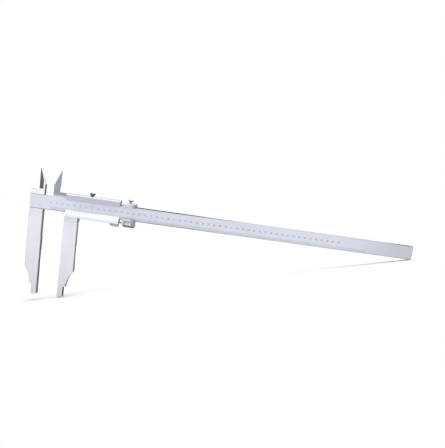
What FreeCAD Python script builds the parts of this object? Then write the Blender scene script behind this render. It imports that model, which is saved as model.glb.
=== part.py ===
import FreeCAD, Part
import math
import os
import re
import Sketcher
from FreeCAD import Vector

# Vernier caliper, 500 mm, with nib jaws, knife-edge blades and fine adjustment.
# X runs along the beam to its free end, Z up towards the blades, and the graduated front faces -Y.
# X = 0 is the fixed measuring face, Y = 0 the middle of the beam's thickness, and Z = 0 the middle
# of the fixed measuring face. Each piece is drawn with Z = 0 at the beam's lower edge, then placed.

SIZES = {
    # beam
    "beam_reach": 647.0,
    "beam_height": 24.4,
    "beam_thickness": 7.0,
    "beam_edge": 0.8,
    "nose_length": 7.0,
    "nose_depth": 2.0,
    # lower jaws
    "jaw_width": 22.8,
    "jaw_flare": 1.2,
    "jaw_depth": 150.0,
    "jaw_thickness": 8.0,
    "jaw_relief": 0.6,
    "relief_end": 47.0,
    "jaw_straight": 102.3,
    "taper_end": 131.5,
    "taper_width": 12.9,
    "taper_radius": 53.0,
    "nib_width": 10.0,
    "nib_side": 9.0,
    "nib_chamfer": 0.4,
    # upper blades
    "head_rise": 7.8,
    "blade_width": 12.0,
    "blade_straight": 18.0,
    "blade_rise": 44.0,
    "blade_tip": 0.8,
    "rear_blade_width": 11.8,
    "rear_blade_relief": 2.4,
    "bevel_start": 9.6,
    "bevel_width": 9.4,
    "blade_thickness": 3.4,
    "blade_gap": 0.1,
    "rear_bevel_width": 6.0,
    "arm_top": 7.1,
    "arm_drop": 3.4,
    "tang_length": 18.0,
    # slider
    "rest_opening": 36.0,
    "slider_length": 92.5,
    "frame_setback": 1.4,
    "slide_gap": 0.05,
    "lip_thickness": 2.45,
    "back_thickness": 3.45,
    "rail_rise": 7.6,
    "rail_chamfer": 2.0,
    "lip_overlap": 3.4,
    "lip_edge": 0.65,
    "sill_depth": 8.5,
    "boss_depth": 15.0,
    "boss_length": 22.0,
    "tongue_top": 6.2,
    "lug_depth": 13.0,
    "lug_length": 15.5,
    "lug_thickness": 7.0,
    "lug_radius": 4.0,
    # vernier plate
    "vernier_top": 4.2,
    "vernier_bottom": 6.5,
    "vernier_edge": 0.35,
    "vernier_bevel_start": 3.0,
    # gib strips
    "gib_thickness": 1.2,
    "gib_width": 5.2,
    "gib_inset": 3.0,
    "gib_play": 0.25,
    # fine adjustment
    "thread_drop": 5.6,
    "thread_radius": 1.6,
    "thread_socket": 12.0,
    "thread_end_inset": 0.6,
    "running_gap": 0.06,
    "nut_radius": 4.1,
    "nut_length": 13.4,
    "nut_chamfer": 0.6,
    # carriage
    "carriage_gap": 5.3,
    "carriage_length": 22.0,
    "carriage_wall": 4.0,
    "carriage_lip": 1.45,
    "carriage_back": 2.45,
    "carriage_rise": 5.0,
    "carriage_upper_lip": 2.1,
    "carriage_lower_lip": 3.0,
    "carriage_depth": 11.5,
    "window_top": 1.3,
    "window_bottom": 9.9,
    "window_play": 0.2,
    "carriage_corner": 4.0,
    "carriage_chamfer": 0.8,
    # thumb screws
    "clamp_radius": 2.0,
    "clamp_rim_radius": 4.8,
    "clamp_dish": 0.5,
    "slider_neck_length": 1.0,
    "slider_cone_height": 3.0,
    "slider_rim_height": 2.0,
    "carriage_neck_length": 2.8,
    "carriage_cone_height": 1.6,
    "carriage_rim_height": 1.6,
    "clamp_position": 43.3,
    # small fasteners
    "rivet_radius": 1.6,
    "rivet_inset": 6.0,
    "stop_inset": 12.0,
    "stop_head_radius": 2.75,
    "stop_head_height": 2.0,
    "stop_shank_radius": 1.5,
    "stop_shank_length": 4.0,
    "plate_screw_head": 1.5,
    "plate_screw_shank": 0.9,
    "plate_screw_inset": 4.0,
    "plate_screw_drop": 4.7,
    "plate_screw_length": 1.6,
    "plate_screw_sink": 0.9,
    "plate_slot_depth": 0.4,
    "blade_screw_head": 2.4,
    "blade_screw_sink": 1.4,
    "blade_screw_shank": 1.25,
    "blade_screw_length": 7.0,
    "blade_screw_pitch": 8.0,
    "set_screw_radius": 1.5,
    "set_screw_inset": 20.0,
    "set_screw_sink": 0.6,
    "slot_width": 0.6,
    "slot_depth": 0.7,
    # reach of a cut or of a joined pad past the face it starts from
    "past": 1.0,
}

doc = FreeCAD.newDocument("vernier_caliper")
sheet = doc.addObject("Spreadsheet::Sheet", "Sizes")
for row, (name, size) in enumerate(SIZES.items(), start=1):
    sheet.set(f"A{row}", name)
    sheet.set(f"B{row}", str(size))
    sheet.setAlias(f"B{row}", name)
doc.recompute()

ALIAS = re.compile(r"\b(" + "|".join(sorted(SIZES, key=len, reverse=True)) + r")\b")

# planes and lines that several pieces share, as expressions of the sheet
HALF = "(beam_thickness / 2)"
INNER = "(beam_thickness / 2 + slide_gap)"
FRONT = "(beam_thickness / 2 + slide_gap + lip_thickness)"
BACK = "(beam_thickness / 2 + slide_gap + back_thickness)"
JAW_BACK = "(jaw_thickness - beam_thickness / 2)"
BLADE_FRONT = "(beam_thickness / 2 + blade_gap)"
BLADE_BACK = "(beam_thickness / 2 + blade_gap + blade_thickness)"
BEAM_LOW = "((relief_end + jaw_depth) / 2)"
RAIL_LOW = "(beam_height + slide_gap)"
RAIL_TOP = "(beam_height + rail_rise)"
GIB_TOP = "(beam_height + slide_gap + gib_thickness)"
CARRIAGE_X = "(rest_opening + slider_length + carriage_gap)"
CARRIAGE_FRONT = "(beam_thickness / 2 + slide_gap + carriage_lip)"
CARRIAGE_BACK = "(beam_thickness / 2 + slide_gap + carriage_back)"
WINDOW_LENGTH = "(nut_length + 2 * window_play)"
BLADE_TIP_Z = "(beam_height + blade_rise)"

parts = []


def bound(text):
    """Write each size's name as a reference to the sheet."""
    return ALIAS.sub(r"Sizes.\1", text)


def value(text):
    """Work out an expression of the sheet's sizes."""
    return float(sheet.evalExpression(bound(text)))


def new_body(label, x="0"):
    """Start a sub-part that stands x along the beam, with the beam's lower edge as its Z = 0."""
    body = doc.addObject("PartDesign::Body", label)
    body.Label = label
    body.AllowCompound = True
    body.setExpression("Placement.Base.x", bound(x))
    body.setExpression("Placement.Base.z", bound(BEAM_LOW))
    parts.append(body)
    return body


def sketch_on(body, role, offset):
    """Add a sketch on one of the body's own planes, moved along the plane's normal."""
    sketch = body.newObject("Sketcher::SketchObject", f"{body.Name}_sketch")
    plane = next(item for item in body.Origin.OriginFeatures if item.Role == role)
    sketch.AttachmentSupport = [(plane, "")]
    sketch.MapMode = "FlatFace"
    sketch.setExpression("AttachmentOffset.Base.z", bound(offset))
    return sketch


def fix_point(sketch, geometry, point, x, y):
    """Hold a point of the sketch at a place given by two expressions."""
    for kind, text in (("DistanceX", x), ("DistanceY", y)):
        number = sketch.addConstraint(Sketcher.Constraint(kind, -1, 1, geometry, point, value(text)))
        sketch.setExpression(f"Constraints[{number}]", bound(text))


def bow_middle(start, finish, radius, side):
    """Find the middle of the short arc between two points, which bows to one side."""
    chord = finish - start
    reach = math.sqrt(radius ** 2 - (chord.Length / 2) ** 2)
    across = Vector(-chord.y, chord.x, 0).normalize() * side
    return (start + finish) / 2 + across * (radius - reach)


def outline(sketch, corners, bows=None):
    """Close a loop through the corners, each a pair of expressions.

    bows gives the radius of a side that is an arc, and 1 or -1 for the side that it bows to.
    """
    bows = bows or {}
    points = [Vector(value(x), value(y), 0) for x, y in corners]
    sides = []
    for number, start in enumerate(points):
        finish = points[(number + 1) % len(points)]
        if number in bows:
            radius, side = bows[number]
            middle = bow_middle(start, finish, value(radius), side)
            geometry = sketch.addGeometry(Part.Arc(start, middle, finish), False)
            same_way = sketch.getPoint(geometry, 1).distanceToPoint(start) < 1e-6
            sides.append((geometry, 1, 2) if same_way else (geometry, 2, 1))
            held = sketch.addConstraint(Sketcher.Constraint("Radius", geometry, value(radius)))
            sketch.setExpression(f"Constraints[{held}]", bound(radius))
        else:
            geometry = sketch.addGeometry(Part.LineSegment(start, finish), False)
            sides.append((geometry, 1, 2))
    for number, (geometry, begin, _) in enumerate(sides):
        before, _, end = sides[number - 1]
        sketch.addConstraint(Sketcher.Constraint("Coincident", before, end, geometry, begin))
        fix_point(sketch, geometry, begin, *corners[number])
    return sketch


def rectangle(sketch, left, right, low, high):
    """Draw a rectangle between four expressions."""
    return outline(sketch, [(left, low), (right, low), (right, high), (left, high)])


def circles(sketch, spots, radius):
    """Draw a circle at each spot, a pair of expressions."""
    for x, y in spots:
        middle = Vector(value(x), value(y), 0)
        geometry = sketch.addGeometry(Part.Circle(middle, Vector(0, 0, 1), value(radius)), False)
        fix_point(sketch, geometry, 3, x, y)
        held = sketch.addConstraint(Sketcher.Constraint("Radius", geometry, value(radius)))
        sketch.setExpression(f"Constraints[{held}]", bound(radius))
    return sketch


def pad(body, sketch, length):
    """Extrude a sketch along its normal."""
    feature = body.newObject("PartDesign::Pad", f"{body.Name}_pad")
    feature.Profile = sketch
    feature.setExpression("Length", bound(length))
    doc.recompute()
    return feature


def pocket(body, sketch, length):
    """Cut a sketch out of the body, against its normal, and make sure that it cuts."""
    before = body.Shape.Volume
    feature = body.newObject("PartDesign::Pocket", f"{body.Name}_pocket")
    feature.Profile = sketch
    feature.setExpression("Length", bound(length))
    doc.recompute()
    if body.Shape.Volume >= before - 1e-6:
        raise RuntimeError(f"{feature.Name} cuts nothing")
    return feature


def turn(body, sketch):
    """Turn a half profile about the sketch's vertical axis."""
    feature = body.newObject("PartDesign::Revolution", f"{body.Name}_turned")
    feature.Profile = sketch
    feature.ReferenceAxis = (sketch, ["V_Axis"])
    feature.Angle = 360
    doc.recompute()
    return feature


def chamfer(body, size, wanted):
    """Chamfer the edges of the tip that the test picks."""
    base = body.Tip
    names = [f"Edge{n}" for n, edge in enumerate(base.Shape.Edges, start=1) if wanted(edge)]
    feature = body.newObject("PartDesign::Chamfer", f"{body.Name}_chamfer")
    feature.Base = (base, names)
    feature.setExpression("Size", bound(size))
    doc.recompute()
    return feature


# A front view is drawn in X and Z. Its normal is -Y, so a pad grows forwards and a pocket cuts backwards.

def front_pad(body, back, depth, draw, *form, **more):
    """Pad a front view from its back plane forwards."""
    sketch = draw(sketch_on(body, "XZ_Plane", f"-({back})"), *form, **more)
    return pad(body, sketch, depth)


def front_cut(body, front, depth, draw, *form, **more):
    """Cut a front view from its front plane backwards."""
    sketch = draw(sketch_on(body, "XZ_Plane", f"-({front})"), *form, **more)
    return pocket(body, sketch, depth)


def along_pad(body, left, length, draw, *form, **more):
    """Pad a cross-section, drawn in Y and Z, along the beam."""
    sketch = draw(sketch_on(body, "YZ_Plane", left), *form, **more)
    return pad(body, sketch, length)


def along_cut(body, right, length, draw, *form, **more):
    """Cut a cross-section, drawn in Y and Z, back along the beam from its right end."""
    sketch = draw(sketch_on(body, "YZ_Plane", right), *form, **more)
    return pocket(body, sketch, length)


def down_cut(body, top, depth, draw, *form, **more):
    """Cut a plan, drawn in X and Y, downwards from its top plane."""
    sketch = draw(sketch_on(body, "XY_Plane", top), *form, **more)
    return pocket(body, sketch, depth)


def up_pad(body, low, height, draw, *form, **more):
    """Pad a plan, drawn in X and Y, upwards."""
    sketch = draw(sketch_on(body, "XY_Plane", low), *form, **more)
    return pad(body, sketch, height)


def head_rivet_spots():
    """List the rivets of the fixed jaw's lap, in two rows behind the beam's head."""
    columns = ("-rivet_inset", "-(jaw_width - rivet_inset)")
    rows = ("rivet_inset", "beam_height - rivet_inset")
    return [(x, z) for x in columns for z in rows]


def boss_rivet_spots():
    """List the rivets that hold the sliding jaw's tongue in the slider's boss."""
    height = "-(boss_depth + tongue_top) / 2"
    return [("rivet_inset", height), ("jaw_width / 2", height), ("jaw_width - rivet_inset", height)]


def plate_screw_spots():
    """List the screws of the vernier plate, one near each end."""
    height = "-plate_screw_drop"
    return [("frame_setback + plate_screw_inset", height), ("slider_length - plate_screw_inset", height)]


def blade_screw_spots():
    """List the screws that hold the sliding blade's tang to the rail."""
    height = "(beam_height + slide_gap + beam_height + arm_top) / 2"
    middle = "(frame_setback + tang_length) / 2"
    return [(f"{middle} - blade_screw_pitch / 2", height), (f"{middle} + blade_screw_pitch / 2", height)]


def set_screw_spots():
    """List the gib's set screws along the rail."""
    return [("set_screw_inset", "0"), ("slider_length - set_screw_inset", "0")]


def build_beam():
    """Make the graduated beam, halved at its head for the fixed jaw and bevelled at its nose."""
    body = new_body("beam")
    section = [
        (f"-{HALF} + beam_edge", "0"),
        (f"{HALF} - beam_edge", "0"),
        (HALF, "beam_edge"),
        (HALF, "beam_height - beam_edge"),
        (f"{HALF} - beam_edge", "beam_height"),
        (f"-{HALF} + beam_edge", "beam_height"),
        (f"-{HALF}", "beam_height - beam_edge"),
        (f"-{HALF}", "beam_edge"),
    ]
    along_pad(body, "-jaw_width", "jaw_width + beam_reach", outline, section)
    front_cut(body, "0", "beam_thickness", rectangle, "-jaw_width - past", "0", "-past", "beam_height + past")
    nose = [
        ("beam_reach - nose_length", f"-{HALF} - past"),
        ("beam_reach + past", f"-{HALF} - past"),
        ("beam_reach + past", f"-{HALF} + nose_depth"),
        ("beam_reach", f"-{HALF} + nose_depth"),
        ("beam_reach - nose_length", f"-{HALF}"),
    ]
    down_cut(body, "beam_height + past", "beam_height + 2 * past", outline, nose)
    front_cut(body, f"-{HALF} - past", "beam_thickness + 2 * past", circles, head_rivet_spots(), "rivet_radius")
    hole = [("beam_reach - stop_inset", "beam_height / 2")]
    front_cut(body, f"{HALF} - stop_shank_length", "stop_shank_length", circles, hole, "stop_shank_radius")


def lower_jaw(body, side):
    """Make a lower jaw down to its nib: side is -1 for the fixed jaw and 1 for the sliding one."""
    limb = [
        (f"{side} * jaw_relief", "0"),
        (f"{side} * jaw_relief", "-relief_end"),
        ("0", "-relief_end - jaw_relief"),
        ("0", "-taper_end"),
        (f"{side} * taper_width", "-taper_end"),
        (f"{side} * (jaw_width + jaw_flare)", "-jaw_straight"),
        (f"{side} * jaw_width", "0"),
    ]
    if side > 0:
        limb[0] = (limb[0][0], "-tongue_top")
        limb[-1] = (limb[-1][0], "-tongue_top")
    front_pad(body, JAW_BACK, "jaw_thickness", outline, limb, bows={4: ("taper_radius", side)})
    nib = [
        ("0", f"-{HALF}"),
        ("0", JAW_BACK),
        (f"{side} * nib_side", JAW_BACK),
        (f"{side} * nib_side", f"-{HALF}"),
    ]
    rounding = "((jaw_thickness / 2)^2 + (nib_width - nib_side)^2) / (2 * (nib_width - nib_side))"
    up_pad(body, "-jaw_depth", "jaw_depth - taper_end", outline, nib, bows={2: (rounding, -side)})
    foot = -value("jaw_depth")
    chamfer(body, "nib_chamfer", lambda edge: edge.BoundBox.ZMax < foot + 1e-4)


def build_fixed_jaw():
    """Make the fixed jaw: lower jaw, lap behind the beam's head, upper plate and knife-edge blade."""
    body = new_body("fixed_jaw")
    lower_jaw(body, -1)
    front_pad(body, HALF, HALF, rectangle, "-jaw_width", "0", "-past", "beam_height + past")
    head = [
        ("-jaw_width", "beam_height"),
        ("0", "beam_height"),
        ("0", "beam_height + blade_straight"),
        ("-blade_width + blade_tip", BLADE_TIP_Z),
        ("-blade_width", BLADE_TIP_Z),
        ("-blade_width", "beam_height + head_rise"),
        ("-jaw_width", "beam_height + head_rise"),
    ]
    front_pad(body, HALF, "beam_thickness", outline, head)
    bevel = [
        ("-blade_width", HALF),
        ("-blade_width - past", HALF),
        ("-blade_width - past", f"-{HALF} - past"),
        ("-blade_width + bevel_width", f"-{HALF} - past"),
        ("-blade_width + bevel_width", f"-{HALF}"),
    ]
    down_cut(body, f"{BLADE_TIP_Z} + past", "blade_rise - bevel_start + past", outline, bevel)
    front_cut(body, f"-{HALF} - past", "beam_thickness + 2 * past", circles, head_rivet_spots(), "rivet_radius")


def pins(label, x, spots, radius, front, depth):
    """Make a group of plain pins across the thickness, each a solid of its own."""
    body = new_body(label, x)
    front_pad(body, f"{front} + {depth}", depth, circles, spots, radius)
    return body


def build_head_rivets():
    """Make the flush rivets of the fixed jaw's lap."""
    pins("jaw_rivets", "0", head_rivet_spots(), "rivet_radius", f"-{HALF}", "beam_thickness")


def slot(body, spots, along, plane, draw_cut, depth="slot_depth"):
    """Cut a straight driver slot across each screw head."""
    for x, z in spots:
        draw_cut(body, plane, depth, rectangle, f"{x} - {along}", f"{x} + {along}",
                 f"{z} - slot_width / 2", f"{z} + slot_width / 2")


def build_stop_screw():
    """Make the slotted screw on the beam's back that keeps the slider from running off."""
    body = new_body("beam_stop_screw")
    spots = [("beam_reach - stop_inset", "beam_height / 2")]
    front_pad(body, HALF, "stop_shank_length", circles, spots, "stop_shank_radius")
    front_pad(body, f"{HALF} + stop_head_height", "stop_head_height", circles, spots, "stop_head_radius")
    slot(body, spots, "stop_head_radius", f"{HALF} + stop_head_height - slot_depth", front_cut)


def build_slider_frame():
    """Make the slider's channel with its rail, sill, boss for the jaw and lug for the fine thread."""
    body = new_body("slider_frame", "rest_opening")
    channel = [
        (f"-{INNER}", "-sill_depth"),
        (BACK, "-sill_depth"),
        (BACK, RAIL_TOP),
        (f"-{FRONT} + rail_chamfer", RAIL_TOP),
        (f"-{FRONT}", f"{RAIL_TOP} - rail_chamfer"),
        (f"-{INNER} - lip_edge", "beam_height - lip_overlap"),
        (f"-{INNER}", "beam_height - lip_overlap"),
        (f"-{INNER}", RAIL_LOW),
        (INNER, RAIL_LOW),
        (INNER, "-slide_gap"),
        (f"-{INNER}", "-slide_gap"),
    ]
    run = "slider_length - frame_setback"
    along_pad(body, "frame_setback", run, outline, channel)
    boss = [
        (f"-{FRONT}", "-boss_depth"),
        (BACK, "-boss_depth"),
        (BACK, "-slide_gap"),
        (f"-{INNER}", "-slide_gap"),
        (f"-{INNER}", "-vernier_bottom"),
        (f"-{FRONT}", "-vernier_bottom"),
    ]
    along_pad(body, "frame_setback", "boss_length", outline, boss)
    lug = [
        ("slider_length - lug_length", "-sill_depth + past"),
        ("slider_length - lug_length", "-sill_depth"),
        ("slider_length - lug_length + lug_radius", "-lug_depth"),
        ("slider_length", "-lug_depth"),
        ("slider_length", "-sill_depth + past"),
    ]
    front_pad(body, "lug_thickness / 2", "lug_thickness", outline, lug,
              bows={1: ("lug_depth - sill_depth + past", -1)})
    along_cut(body, "frame_setback + boss_length + past", "boss_length + 2 * past", rectangle,
              f"-{HALF}", JAW_BACK, "-boss_depth - past", "-tongue_top")
    front_cut(body, BLADE_FRONT, "blade_thickness + past", rectangle, "frame_setback - past", "tang_length",
              "beam_height - arm_drop", "beam_height + arm_top")
    along_cut(body, "slider_length - gib_inset", "slider_length - 2 * gib_inset", rectangle,
              "-gib_width / 2", "gib_width / 2", RAIL_LOW, f"{GIB_TOP} + gib_play")
    down_cut(body, f"{RAIL_TOP} + past", f"{RAIL_TOP} - {GIB_TOP} + past", circles,
             [("clamp_position", "0")], "clamp_radius + running_gap")
    down_cut(body, f"{RAIL_TOP} + past", f"{RAIL_TOP} - {GIB_TOP} + past", circles,
             set_screw_spots(), "set_screw_radius")
    along_cut(body, "slider_length + past", "thread_socket + past", circles,
              [("0", "-thread_drop")], "thread_radius")
    down_cut(body, "-thread_drop", "lug_depth - thread_drop + past", circles,
             [("slider_length - lug_length / 2", "0")], "set_screw_radius")
    front_cut(body, f"-{INNER} - past", "plate_screw_length + past", circles,
              plate_screw_spots(), "plate_screw_shank")
    front_cut(body, f"{BLADE_BACK} - blade_screw_length", "blade_screw_length", circles,
              blade_screw_spots(), "blade_screw_shank")


def build_slider_jaw():
    """Make the sliding lower jaw, whose tongue sits in the slider's boss."""
    body = new_body("slider_jaw", "rest_opening")
    lower_jaw(body, 1)
    front_cut(body, f"-{HALF} - past", "jaw_thickness + 2 * past", circles, boss_rivet_spots(), "rivet_radius")


def build_boss_rivets():
    """Make the flush rivets through the boss and the jaw's tongue, and their holes in the boss."""
    pins("slider_jaw_rivets", "rest_opening", boss_rivet_spots(), "rivet_radius",
         f"-{FRONT}", f"({FRONT} + {BACK})")
    frame = doc.getObject("slider_frame")
    front_cut(frame, f"-{FRONT} - past", f"{FRONT} + {BACK} + 2 * past", circles,
              boss_rivet_spots(), "rivet_radius")


def build_slider_blade():
    """Make the sliding knife-edge blade, whose arm passes behind the fixed head."""
    body = new_body("slider_blade", "rest_opening")
    plate = [
        ("-blade_width - rear_blade_width", "beam_height - arm_drop"),
        ("tang_length", "beam_height - arm_drop"),
        ("tang_length", "beam_height + arm_top"),
        ("-blade_width - rear_blade_relief", "beam_height + arm_top"),
        ("-blade_width", "beam_height + blade_straight"),
        ("-blade_width", BLADE_TIP_Z),
        ("-blade_width - blade_tip", BLADE_TIP_Z),
        ("-blade_width - rear_blade_width", "beam_height + blade_straight"),
    ]
    front_pad(body, BLADE_BACK, "blade_thickness", outline, plate)
    bevel = [
        ("-blade_width", BLADE_FRONT),
        ("-blade_width + past", BLADE_FRONT),
        ("-blade_width + past", f"{BLADE_BACK} + past"),
        ("-blade_width - rear_bevel_width", f"{BLADE_BACK} + past"),
        ("-blade_width - rear_bevel_width", BLADE_BACK),
    ]
    down_cut(body, f"{BLADE_TIP_Z} + past", "blade_rise - bevel_start + past", outline, bevel)
    front_cut(body, f"{BLADE_BACK} - blade_screw_sink", "blade_screw_sink", circles,
              blade_screw_spots(), "blade_screw_head")
    front_cut(body, f"{BLADE_FRONT} - past", "blade_thickness + past", circles,
              blade_screw_spots(), "blade_screw_shank")


def build_blade_screws():
    """Make the slotted screws of the sliding blade, flush with the slider's back."""
    body = new_body("slider_blade_screws", "rest_opening")
    front_pad(body, f"{BLADE_BACK} - blade_screw_sink", "blade_screw_length - blade_screw_sink", circles,
              blade_screw_spots(), "blade_screw_shank")
    front_pad(body, BLADE_BACK, "blade_screw_sink", circles, blade_screw_spots(), "blade_screw_head")
    slot(body, blade_screw_spots(), "blade_screw_head", f"{BLADE_BACK} - slot_depth", front_cut)


def build_vernier_plate():
    """Make the vernier plate with its bevelled reading edge over the beam."""
    body = new_body("vernier_plate", "rest_opening")
    section = [
        (f"-{FRONT}", "-vernier_bottom"),
        (f"-{INNER}", "-vernier_bottom"),
        (f"-{INNER}", "vernier_top"),
        (f"-{INNER} - vernier_edge", "vernier_top"),
        (f"-{FRONT}", "-vernier_bevel_start"),
    ]
    along_pad(body, "frame_setback", "slider_length - frame_setback", outline, section)
    front_cut(body, f"-{FRONT} - past", "plate_screw_sink + past", circles,
              plate_screw_spots(), "plate_screw_head")
    front_cut(body, f"-{FRONT} - past", "lip_thickness + 2 * past", circles,
              plate_screw_spots(), "plate_screw_shank")


def build_plate_screws():
    """Make the vernier plate's small slotted screws."""
    body = new_body("vernier_plate_screws", "rest_opening")
    front_pad(body, f"-{INNER} + plate_screw_length", "plate_screw_length + lip_thickness - plate_screw_sink",
              circles, plate_screw_spots(), "plate_screw_shank")
    front_pad(body, f"-{FRONT} + plate_screw_sink", "plate_screw_sink", circles,
              plate_screw_spots(), "plate_screw_head")
    slot(body, plate_screw_spots(), "plate_screw_head", f"-{FRONT}", front_cut, "plate_slot_depth")


def build_gib(label, x, left, length):
    """Make a flat gib strip that lies along the beam's top edge."""
    body = new_body(label, x)
    along_pad(body, left, length, rectangle, "-gib_width / 2", "gib_width / 2", RAIL_LOW, GIB_TOP)


def build_set_screws():
    """Make the slotted set screws that press the gib, sunk into the rail."""
    body = new_body("slider_gib_screws", "rest_opening")
    up_pad(body, GIB_TOP, f"{RAIL_TOP} - {GIB_TOP} - set_screw_sink", circles,
           set_screw_spots(), "set_screw_radius")
    slot(body, set_screw_spots(), "set_screw_radius", f"{RAIL_TOP} - set_screw_sink", down_cut)


def build_clamp_screw(label, x, seat, neck, cone, rim):
    """Make a thumb screw: shank down to the gib, then neck, cone and dished rim above its seat."""
    body = new_body(label, x)
    cone_low = f"{seat} + {neck}"
    rim_low = f"{cone_low} + {cone}"
    top = f"{rim_low} + {rim}"
    profile = [
        ("0", f"{GIB_TOP} + slide_gap"),
        ("clamp_radius", f"{GIB_TOP} + slide_gap"),
        ("clamp_radius", cone_low),
        ("clamp_rim_radius", rim_low),
        ("clamp_rim_radius", f"{top} - clamp_dish"),
        ("clamp_rim_radius - clamp_dish", top),
        ("clamp_rim_radius - 3 * clamp_dish", top),
        ("clamp_rim_radius - 4 * clamp_dish", f"{top} - clamp_dish"),
        ("0", f"{top} - clamp_dish"),
    ]
    turn(body, outline(sketch_on(body, "XZ_Plane", "0"), profile))


def build_fine_screw():
    """Make the fine-adjustment thread, held in the slider's lug and reaching through the carriage."""
    body = new_body("fine_screw", "rest_opening")
    reach = "thread_socket + carriage_gap + carriage_length - thread_end_inset"
    along_pad(body, "slider_length - thread_socket", reach, circles, [("0", "-thread_drop")], "thread_radius")


def build_fine_screw_lock():
    """Make the slotted set screw that locks the thread from below the lug."""
    body = new_body("fine_screw_lock", "rest_opening")
    spots = [("slider_length - lug_length / 2", "0")]
    low = "-lug_depth + set_screw_sink"
    up_pad(body, low, f"-thread_drop - thread_radius - ({low})", circles, spots, "set_screw_radius")
    slot(body, spots, "set_screw_radius", f"{low} + slot_depth", down_cut)


def build_fine_nut():
    """Make the long nut that turns on the thread inside the carriage's window."""
    body = new_body("fine_nut", CARRIAGE_X)
    left = "carriage_wall + window_play"
    along_pad(body, left, "nut_length", circles, [("0", "-thread_drop")], "nut_radius")
    rim = value("nut_radius")
    chamfer(body, "nut_chamfer",
            lambda edge: hasattr(edge.Curve, "Radius") and abs(edge.Curve.Radius - rim) < 1e-4)
    along_cut(body, f"{left} + nut_length + past", "nut_length + 2 * past", circles,
              [("0", "-thread_drop")], "thread_radius + running_gap")


def build_carriage_frame():
    """Make the carriage: a channel round the beam's back with a clamp block and a nut window."""
    body = new_body("carriage_frame", CARRIAGE_X)
    channel = [
        (f"-{CARRIAGE_FRONT}", "-carriage_depth"),
        (CARRIAGE_BACK, "-carriage_depth"),
        (CARRIAGE_BACK, "beam_height + carriage_rise"),
        (f"-{CARRIAGE_FRONT} + carriage_chamfer", "beam_height + carriage_rise"),
        (f"-{CARRIAGE_FRONT}", "beam_height + carriage_rise - carriage_chamfer"),
        (f"-{CARRIAGE_FRONT}", "beam_height - carriage_upper_lip"),
        (f"-{INNER}", "beam_height - carriage_upper_lip"),
        (f"-{INNER}", RAIL_LOW),
        (INNER, RAIL_LOW),
        (INNER, "-slide_gap"),
        (f"-{INNER}", "-slide_gap"),
        (f"-{INNER}", "carriage_lower_lip"),
        (f"-{CARRIAGE_FRONT}", "carriage_lower_lip"),
    ]
    along_pad(body, "0", "carriage_length", outline, channel)
    corner = [
        ("-past", "-carriage_depth + carriage_corner"),
        ("0", "-carriage_depth + carriage_corner"),
        ("carriage_corner", "-carriage_depth"),
        ("carriage_corner", "-carriage_depth - past"),
        ("-past", "-carriage_depth - past"),
    ]
    whole = f"{CARRIAGE_FRONT} + {CARRIAGE_BACK} + 2 * past"
    front_cut(body, f"-{CARRIAGE_FRONT} - past", whole, outline, corner)
    front_cut(body, f"-{CARRIAGE_FRONT} - past", whole, rectangle, "carriage_wall",
              f"carriage_wall + {WINDOW_LENGTH}", "-window_bottom", "-window_top")
    along_cut(body, "carriage_length + past", "carriage_length + 2 * past", circles,
              [("0", "-thread_drop")], "thread_radius + running_gap")
    along_cut(body, "carriage_length - gib_inset / 2", "carriage_length - gib_inset", rectangle,
              "-gib_width / 2", "gib_width / 2", RAIL_LOW, f"{GIB_TOP} + gib_play")
    down_cut(body, "beam_height + carriage_rise + past",
             f"beam_height + carriage_rise - {GIB_TOP} + past", circles,
             [("carriage_length / 2", "0")], "clamp_radius + running_gap")


build_beam()
build_fixed_jaw()
build_head_rivets()
build_stop_screw()
build_slider_frame()
build_slider_jaw()
build_boss_rivets()
build_slider_blade()
build_blade_screws()
build_vernier_plate()
build_plate_screws()
build_gib("slider_gib", "rest_opening", "gib_inset", "slider_length - 2 * gib_inset")
build_set_screws()
build_clamp_screw("slider_clamp_screw", "rest_opening + clamp_position", RAIL_TOP,
                  "slider_neck_length", "slider_cone_height", "slider_rim_height")
build_fine_screw()
build_fine_screw_lock()
build_fine_nut()
build_carriage_frame()
build_gib("carriage_gib", CARRIAGE_X, "gib_inset / 2", "carriage_length - gib_inset")
build_clamp_screw("carriage_clamp_screw", f"{CARRIAGE_X} + carriage_length / 2",
                  "(beam_height + carriage_rise)", "carriage_neck_length", "carriage_cone_height",
                  "carriage_rim_height")
doc.recompute()

for item in doc.Objects:
    if "Invalid" in item.State or "Error" in item.State:
        raise RuntimeError(f"{item.Name} failed: {item.State}")
for body in parts:
    if body.Shape.isNull() or not body.Shape.isValid() or not body.Shape.Solids:
        raise RuntimeError(f"{body.Label} has no sound shape")

os.makedirs("parts", exist_ok=True)
for body in parts:
    body.Shape.exportStep(os.path.join("parts", f"{body.Label}.step"))
    box = body.Shape.BoundBox
    print(f"{body.Label}: {len(body.Shape.Solids)} solid, {body.Shape.Volume:.1f} mm3, "
          f"X {box.XMin:.2f}..{box.XMax:.2f} Y {box.YMin:.2f}..{box.YMax:.2f} "
          f"Z {box.ZMin:.2f}..{box.ZMax:.2f}")
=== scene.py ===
import logging
import math
from collections.abc import Callable, Sequence
from dataclasses import dataclass
from enum import Enum

import bmesh
import bpy
from mathutils import Matrix, Vector


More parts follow.
